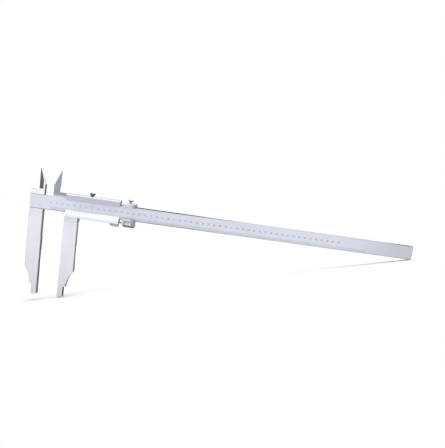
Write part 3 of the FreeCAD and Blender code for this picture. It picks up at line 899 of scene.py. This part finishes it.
@dataclass
class FineAdjustment:
    """The fine thread, its knurled nut and the clamped carriage."""

    axis_z: float = 92.9 * MM
    left: float = 116.5 * MM
    right: float = 155.2 * MM
    crest: float = 1.6 * MM
    root: float = 1.3 * MM
    lead: float = 0.5 * MM
    ridge_share: float = 0.96
    core_overlap: float = 0.02 * MM
    rod_chamfer: float = 0.25 * MM
    turn_steps: int = 20
    round_sides: int = 40
    nut_left: float = 138.0 * MM
    nut_length: float = 13.4 * MM
    nut_radius: float = 4.1 * MM
    nut_bore: float = 1.66 * MM
    nut_chamfer: float = 0.6 * MM
    nut_groove: float = 0.93
    nut_teeth: int = 36

    def build(self) -> None:
        """Dress the carriage, cut the thread and knurl the nut."""
        # Painted shade on the carriage's sides, top and underside.
        dress_node(
            "carriage_frame", CARRIAGE_FACE,
            (looks(Way.LEFT), SIDE_GREY_SHADE),
            (looks(Way.UP), TOP_FACE_SHADE),
            (looks(Way.DOWN), SIDE_GREY_SHADE),
            (looks(Way.RIGHT), LAPPED_SIDE_SHADE),
        )
        dress_node("carriage_gib", SPRING)
        self._thread()
        self._nut()

    def _thread(self) -> None:
        """Join the thread's ridge with a core and lay them along X."""
        rod = join([self._ridge(), self._core()], "fine_thread")
        rod.rotation_euler = (0, math.pi / 2, 0)
        rod.location = (self.left, 0, self.axis_z)
        apply_place(rod)
        outward(rod)
        complete(rod, "fine_thread", "slider", SPRING)
        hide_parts("fine_screw")

    def _ridge(self) -> Piece:
        """Wind the thread's three-sided ridge round the Z axis.

        Returns:
            The ridge, closed at both ends.
        """
        deselect()
        radius = self.lead / math.sqrt(3) * self.ridge_share
        bpy.ops.mesh.primitive_circle_add(vertices=3, radius=radius, fill_type="NOTHING",
                                          location=(0, 0, 0), rotation=(math.pi / 2, math.pi / 2, 0))
        ridge = bpy.context.object
        apply_place(ridge)
        reaches = [vertex.co.x for vertex in ridge.data.vertices]
        depth = self.crest - self.root
        bpy.ops.object.mode_set(mode="EDIT")
        bpy.ops.mesh.select_all(action="SELECT")
        bpy.ops.transform.resize(value=(depth / (max(reaches) - min(reaches)), 1.0, 1.0))
        bpy.ops.object.mode_set(mode="OBJECT")
        reach = max(vertex.co.x for vertex in ridge.data.vertices)
        ridge.location = (self.crest - reach, 0, self.lead)
        apply_place(ridge)
        helix = ridge.modifiers.new("helix", "SCREW")
        helix.axis = "Z"
        helix.screw_offset = self.lead
        helix.iterations = int((self.right - self.left - 2 * self.lead) / self.lead)
        helix.steps = self.turn_steps
        helix.render_steps = self.turn_steps
        bpy.ops.object.modifier_apply(modifier=helix.name)
        bpy.ops.object.mode_set(mode="EDIT")
        bpy.ops.mesh.select_all(action="SELECT")
        bpy.ops.mesh.fill_holes(sides=4)
        bpy.ops.object.mode_set(mode="OBJECT")
        return ridge

    def _core(self) -> Piece:
        """Turn the thread's core with a chamfered end.

        Returns:
            The core, standing on the origin.
        """
        length = self.right - self.left
        bpy.ops.mesh.primitive_cylinder_add(vertices=self.round_sides, radius=self.root + self.core_overlap,
                                            depth=length, location=(0, 0, length / 2))
        core = bpy.context.object
        apply_place(core)
        bpy.ops.object.mode_set(mode="EDIT")
        pick(core, lambda vertex: vertex.co.z > length / 2)
        bpy.ops.mesh.bevel(offset=self.rod_chamfer, segments=3, affect="EDGES")
        bpy.ops.object.mode_set(mode="OBJECT")
        return core

    def _nut(self) -> None:
        """Turn the nut's body, knurl it and bore it."""
        deselect()
        inner = self.nut_radius - self.nut_chamfer
        bpy.ops.mesh.primitive_circle_add(vertices=2 * self.nut_teeth, radius=inner, fill_type="NGON",
                                          location=(0, 0, 0))
        nut = bpy.context.object
        bpy.ops.object.mode_set(mode="EDIT")
        bpy.ops.mesh.select_all(action="SELECT")
        full = self.nut_radius / inner
        grow(self.nut_chamfer, full)
        grow(self.nut_length - 2 * self.nut_chamfer, 1.0)
        grow(self.nut_chamfer, 1 / full)
        pick(nut, lambda vertex: in_groove(vertex.co.x, vertex.co.y, self.nut_radius, self.nut_teeth))
        bpy.ops.transform.resize(value=(self.nut_groove, self.nut_groove, 1.0))
        bpy.ops.object.mode_set(mode="OBJECT")
        self._bore(nut)
        nut.rotation_euler = (0, math.pi / 2, 0)
        nut.location = (self.nut_left, 0, self.axis_z)
        apply_place(nut)
        complete(nut, "fine_nut_knurled", "nut", NUT_STEEL)
        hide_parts("fine_nut")

    def _bore(self, nut: Piece) -> None:
        """Bore the nut through along its axis.

        Args:
            nut: The nut's body, standing on the origin.
        """
        bpy.ops.mesh.primitive_cylinder_add(vertices=self.round_sides, radius=self.nut_bore,
                                            depth=2 * self.nut_length, location=(0, 0, self.nut_length / 2))
        bore = bpy.context.object
        deselect()
        outward(nut)
        cut = nut.modifiers.new("bore", "BOOLEAN")
        cut.operation = "DIFFERENCE"
        cut.object = bore
        bpy.ops.object.modifier_apply(modifier=cut.name)
        bpy.data.objects.remove(bore)


@dataclass(frozen=True)
class Lamp:
    """A soft rectangular lamp: its place, size and power, and how far it is raised and turned in degrees."""

    name: str
    place: tuple[float, float, float]
    size: tuple[float, float]
    watts: float
    raised_turned: tuple[float, float]
    casts_shadow: bool = True

    def hang(self) -> None:
        """Hang the lamp, which looks straight down where it is not raised."""
        data = bpy.data.lights.new(self.name, "AREA")
        data.shape = "RECTANGLE"
        data.size, data.size_y = self.size
        data.energy = self.watts
        data.use_shadow = self.casts_shadow
        lamp = bpy.data.objects.new(self.name, data)
        bpy.context.scene.collection.objects.link(lamp)
        raised, turned = self.raised_turned
        lamp.location = self.place
        lamp.rotation_euler = (math.radians(raised), 0, math.radians(turned))
        lamp.visible_camera = False
        log.info("hung %s at %.0f W", self.name, self.watts)


@dataclass
class Studio:
    """The white floor that the caliper stands on, the soft lamps, the white world and the camera."""

    nib_foot: tuple[float, float] = (48 * MM, -51.5 * MM)
    beam_foot: tuple[float, float] = (647 * MM, 98.5 * MM)
    floor_left: float = -0.40
    floor_right: float = 0.72
    floor_front: float = -0.60
    floor_back: float = 0.60
    camera_place: tuple[float, float, float] = (0.2779, -0.6518, 0.1913)
    camera_right: tuple[float, float, float] = (0.9894, -0.0260, 0.1426)
    camera_forward: tuple[float, float, float] = (0.0428, 0.9923, -0.1159)
    lens: float = 30.556
    sensor_width: float = 36.0
    nearest_seen: float = 0.01
    farthest_seen: float = 20.0
    ambient: float = 0.20
    floor_tone: float = 0.94
    near_glow: float = 0.058
    shadow_half_width: float = 6 * MM
    drawn_out: float = 120 * MM
    glow_middle: tuple[float, float] = (0.25, 0.0)
    glow_reach: tuple[float, float] = (0.62, 0.60)
    glow_rise: tuple[float, float] = (0.62, 0.95)
    lamps: tuple[Lamp, ...] = (
        Lamp("overhead_softbox", (0.10, -0.05, 1.25), (1.5, 0.52), 17.5, (2.0, 0.0)),
        Lamp("front_fill", (0.0, -0.90, 0.85), (1.3, 0.7), 5.2, (48.0, -8.0), False),
    )

    def build(self) -> None:
        """Set up the floor, the lamps, the world and the camera."""
        self._floor()
        for lamp in self.lamps:
            lamp.hang()
        self._world()
        self._camera()

    def _floor(self) -> None:
        """Lay a one-sided white floor through the nibs' feet and the beam's lower corner."""
        run = self.beam_foot[0] - self.nib_foot[0]
        rise = self.beam_foot[1] - self.nib_foot[1]
        slope = rise / run
        middle_x = (self.floor_left + self.floor_right) / 2
        middle_y = (self.floor_front + self.floor_back) / 2
        height = self.nib_foot[1] + (middle_x - self.nib_foot[0]) * slope
        deselect()
        bpy.ops.mesh.primitive_plane_add(size=1, location=(middle_x, middle_y, height))
        floor = bpy.context.object
        floor.name = "floor"
        tilt = math.atan(slope)
        length = (self.floor_right - self.floor_left) / math.cos(tilt)
        floor.rotation_euler = (0, -tilt, 0)
        floor.scale = (length, self.floor_back - self.floor_front, 1)
        apply_place(floor)
        floor.data.materials.append(self._floor_material())
        log.info("laid the floor, tilted %.1f degrees", math.degrees(tilt))

    @staticmethod
    def _seen(tree: Tree) -> Socket:
        """Tell the rays that see the background from those that light the object.

        Args:
            tree: The nodes of a material or the world.

        Returns:
            A socket that is 1 for camera, glossy and transmission rays.
        """
        path = tree.nodes.new("ShaderNodeLightPath")
        total = path.outputs["Is Camera Ray"]
        for name in ("Is Glossy Ray", "Is Transmission Ray"):
            total = combine(tree, "MAXIMUM", total, path.outputs[name])
        return total

    def _far_glow(self, tree: Tree) -> Socket:
        """Let the floor's glow rise from the caliper to full white before the floor's edges.

        Args:
            tree: The floor's nodes.

        Returns:
            The socket with the glow.
        """
        place = tree.nodes.new("ShaderNodeTexCoord")
        shrink = tree.nodes.new("ShaderNodeMapping")
        wide, deep = self.glow_reach
        middle_x, middle_y = self.glow_middle
        shrink.inputs["Location"].default_value = (-middle_x / wide, -middle_y / deep, 0)
        shrink.inputs["Scale"].default_value = (1 / wide, 1 / deep, 0)
        away = tree.nodes.new("ShaderNodeVectorMath")
        away.operation = "LENGTH"
        ramp = tree.nodes.new("ShaderNodeMapRange")
        ramp.interpolation_type = "SMOOTHSTEP"
        ramp.inputs["From Min"].default_value = self.glow_rise[0]
        ramp.inputs["From Max"].default_value = self.glow_rise[1]
        ramp.inputs["To Min"].default_value = self.near_glow
        ramp.inputs["To Max"].default_value = 1.0
        tree.links.new(place.outputs["Object"], shrink.inputs["Vector"])
        tree.links.new(shrink.outputs["Vector"], away.inputs[0])
        tree.links.new(away.outputs["Value"], ramp.inputs["Value"])
        return ramp.outputs["Result"]

    def _beside(self, tree: Tree) -> Socket:
        """Let the camera see past the bare floor to a jaw that is drawn out below it.

        Args:
            tree: The floor's nodes.

        Returns:
            A socket that is 1 where the camera sees no floor.
        """
        place = tree.nodes.new("ShaderNodeTexCoord")
        split = tree.nodes.new("ShaderNodeSeparateXYZ")
        tree.links.new(place.outputs["Object"], split.inputs["Vector"])
        away = tree.nodes.new("ShaderNodeMath")
        away.operation = "ABSOLUTE"
        tree.links.new(split.outputs["Y"], away.inputs[0])
        path = tree.nodes.new("ShaderNodeLightPath")
        total = path.outputs["Is Camera Ray"]
        limits = (
            (away.outputs["Value"], self.shadow_half_width),
            (split.outputs["X"], self.drawn_out),
        )
        for source, least in limits:
            past = tree.nodes.new("ShaderNodeMath")
            past.operation = "GREATER_THAN"
            past.inputs[1].default_value = least
            tree.links.new(source, past.inputs[0])
            total = combine(tree, "MULTIPLY", total, past.outputs["Value"])
        return total

    def _floor_material(self) -> bpy.types.Material:
        """Make the floor's white, which keeps the shadow and is clear from below.

        Returns:
            The floor's material.
        """
        material = bpy.data.materials.new("white_floor")
        material.use_nodes = True
        # The glow is only seen and lights nothing, so it isn't sampled as a lamp.
        material.cycles.emission_sampling = "NONE"
        tree = material.node_tree
        tree.nodes.clear()
        output = tree.nodes.new("ShaderNodeOutputMaterial")
        matt = tree.nodes.new("ShaderNodeBsdfDiffuse")
        matt.inputs["Color"].default_value = (self.floor_tone, self.floor_tone, self.floor_tone, 1)
        glow = tree.nodes.new("ShaderNodeEmission")
        seen = combine(tree, "MULTIPLY", self._seen(tree), self._far_glow(tree))
        tree.links.new(seen, glow.inputs["Strength"])
        both = tree.nodes.new("ShaderNodeAddShader")
        tree.links.new(matt.outputs["BSDF"], both.inputs[0])
        tree.links.new(glow.outputs["Emission"], both.inputs[1])
        side = tree.nodes.new("ShaderNodeNewGeometry")
        unseen = combine(tree, "MAXIMUM", side.outputs["Backfacing"], self._beside(tree))
        clear = tree.nodes.new("ShaderNodeBsdfTransparent")
        mix = tree.nodes.new("ShaderNodeMixShader")
        tree.links.new(unseen, mix.inputs["Fac"])
        tree.links.new(both.outputs["Shader"], mix.inputs[1])
        tree.links.new(clear.outputs["BSDF"], mix.inputs[2])
        tree.links.new(mix.outputs["Shader"], output.inputs["Surface"])
        return material

    def _world(self) -> None:
        """Make the world white where it is seen and softer where it lights the object."""
        world = bpy.data.worlds.new("white_studio")
        bpy.context.scene.world = world
        world.use_nodes = True
        tree = world.node_tree
        tree.nodes.clear()
        output = tree.nodes.new("ShaderNodeOutputWorld")
        background = tree.nodes.new("ShaderNodeBackground")
        background.inputs["Color"].default_value = (1, 1, 1, 1)
        ramp = tree.nodes.new("ShaderNodeMapRange")
        ramp.inputs["To Min"].default_value = self.ambient
        ramp.inputs["To Max"].default_value = 1.0
        tree.links.new(self._seen(tree), ramp.inputs["Value"])
        tree.links.new(ramp.outputs["Result"], background.inputs["Strength"])
        tree.links.new(background.outputs["Background"], output.inputs["Surface"])

    def _camera(self) -> None:
        """Stand the camera where the picture was taken."""
        forward = Vector(self.camera_forward).normalized()
        right = Vector(self.camera_right)
        right = (right - forward * right.dot(forward)).normalized()
        up = right.cross(forward)
        turn = Matrix((right, up, -forward)).transposed().to_4x4()
        data = bpy.data.cameras.new("camera")
        data.sensor_fit = "HORIZONTAL"
        data.sensor_width = self.sensor_width
        data.lens = self.lens
        data.clip_start = self.nearest_seen
        data.clip_end = self.farthest_seen
        camera = bpy.data.objects.new("camera", data)
        bpy.context.scene.collection.objects.link(camera)
        camera.matrix_world = Matrix.Translation(Vector(self.camera_place)) @ turn
        bpy.context.scene.camera = camera
        bpy.context.scene.view_settings.view_transform = "Standard"


def main() -> None:
    """Build the studio and every sub-assembly in order."""
    logging.basicConfig(level=logging.INFO, format="%(message)s")
    low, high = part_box("slider_clamp_screw")
    far_low, far_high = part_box("carriage_clamp_screw")
    axis_x = (low.x + high.x) / 2
    far_axis_x = (far_low.x + far_high.x) / 2
    assemblies = [
        Studio(),
        MainBeam(),
        FixedJaw(),
        Slider(),
        VernierScale(),
        ClampScrew("slider_clamp_screw", "slider_clamp", axis_x, high.z - SCREW_HEAD, low.z,
                   neck=1.0 * MM, cone=3.0 * MM, rim_height=2.0 * MM),
        FineAdjustment(),
        ClampScrew("carriage_clamp_screw", "carriage_clamp", far_axis_x, far_high.z - SCREW_HEAD, far_low.z,
                   neck=2.8 * MM, cone=1.6 * MM, rim_height=1.6 * MM, finish=SCREW_GREY),
    ]
    for assembly in assemblies:
        log.info("building %s", type(assembly).__name__)
        assembly.build()


if __name__ == "__main__":
    main()
